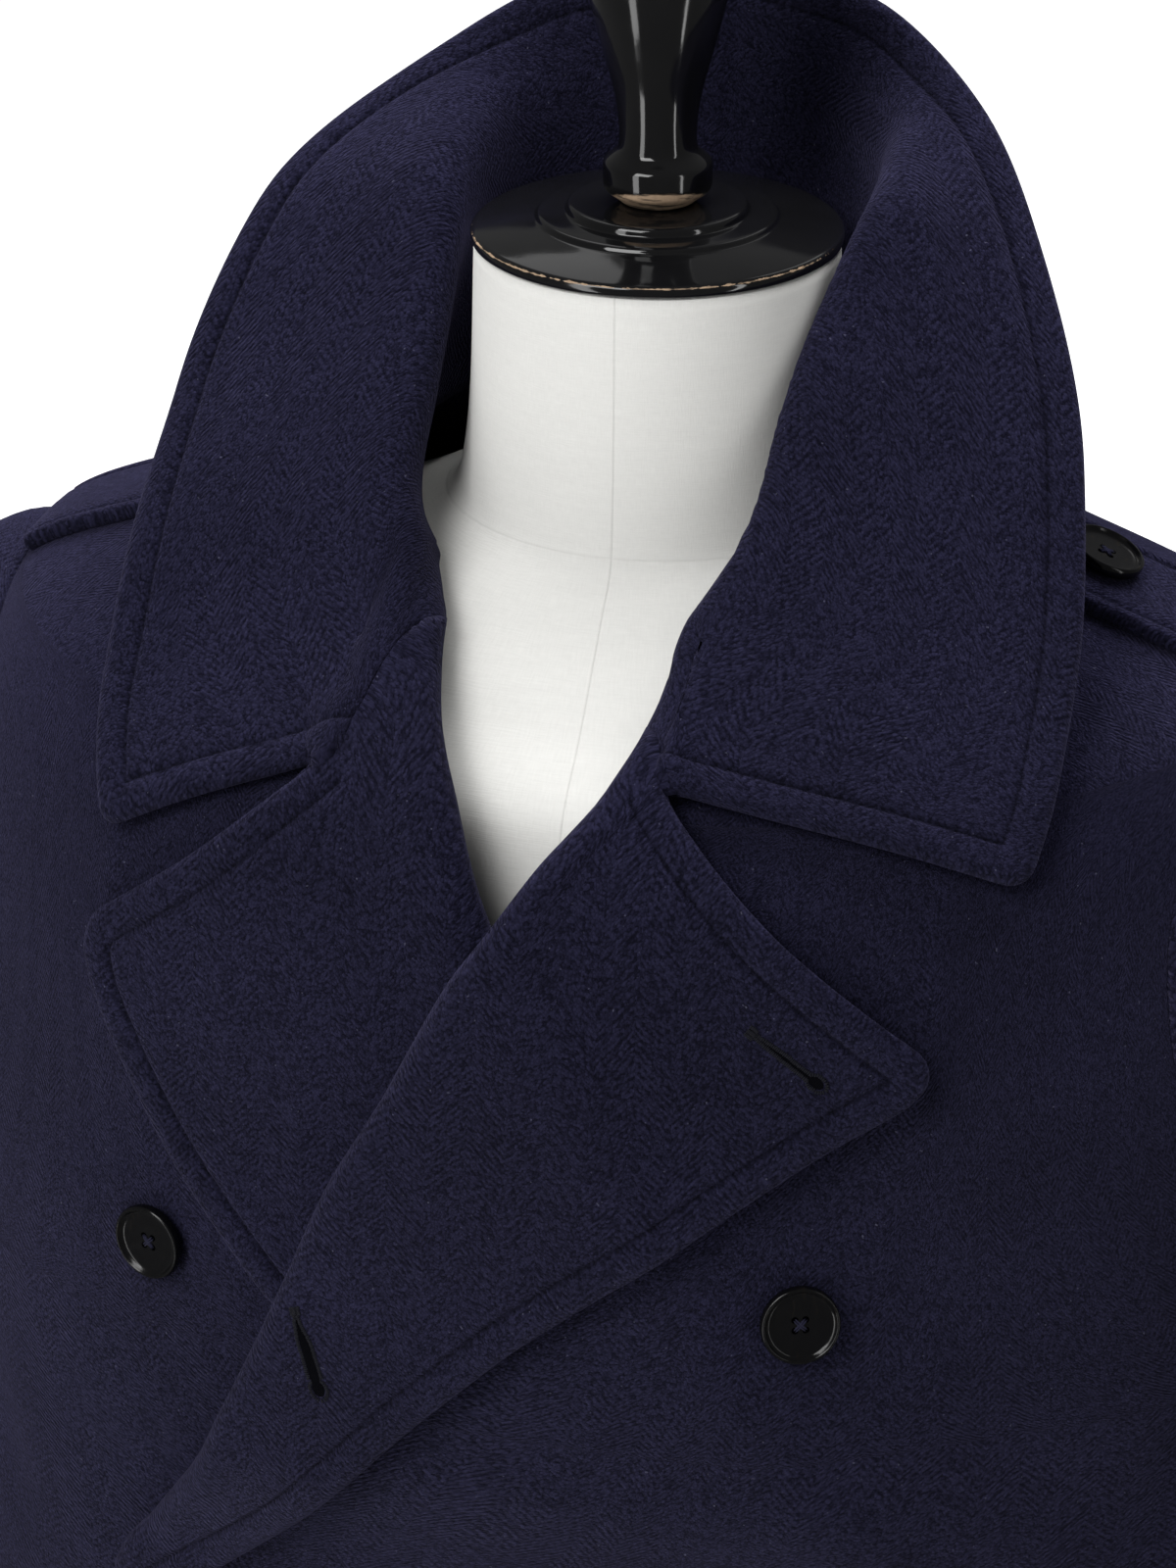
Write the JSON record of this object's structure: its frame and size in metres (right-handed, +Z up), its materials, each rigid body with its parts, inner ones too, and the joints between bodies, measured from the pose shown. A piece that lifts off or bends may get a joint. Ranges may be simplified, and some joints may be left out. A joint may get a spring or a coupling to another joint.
{
  "type": "double-breasted pea coat on a limbless dress form",
  "caption": "Double-breasted wool pea coat with a wide turned-down collar, notched lapels and shoulder straps, worn by a limbless dress form with a turned wooden neck cap on a pole stand.",
  "frame": {"origin": "middle of the underside of the stand's base, on the floor", "axes": "+Z up, the form's front towards -Y, the wearer's left towards +X"},
  "size_m": [0.645, 0.43, 1.6874],
  "materials": {
    "navy_wool": "napped herringbone coating",
    "black_horn": "polished",
    "cream_linen": "fine plain weave",
    "black_lacquer": "glossy black lacquer",
    "black_steel": "satin black paint"
  },
  "bodies": {
    "root": {"front_left": "navy_wool", "front_right": "navy_wool", "back_left": "navy_wool", "back_right": "navy_wool", "sleeve_left": "navy_wool", "sleeve_right": "navy_wool", "lapel_left": "navy_wool", "lapel_right": "navy_wool", "collar": "navy_wool", "epaulette_left": "navy_wool", "epaulette_right": "navy_wool", "pocket_welt_left": "navy_wool", "pocket_welt_right": "navy_wool", "front_button_left_1": "black_horn", "front_button_left_2": "black_horn", "front_button_left_3": "black_horn", "front_button_right_1": "black_horn", "front_button_right_2": "black_horn", "front_button_right_3": "black_horn", "epaulette_button_left": "black_horn", "epaulette_button_right": "black_horn", "form_torso": "cream_linen", "neck_cap": "black_lacquer", "finial": "black_lacquer", "stand_base": "black_lacquer", "stand_pole": "black_steel"}
  },
  "joints": []
}
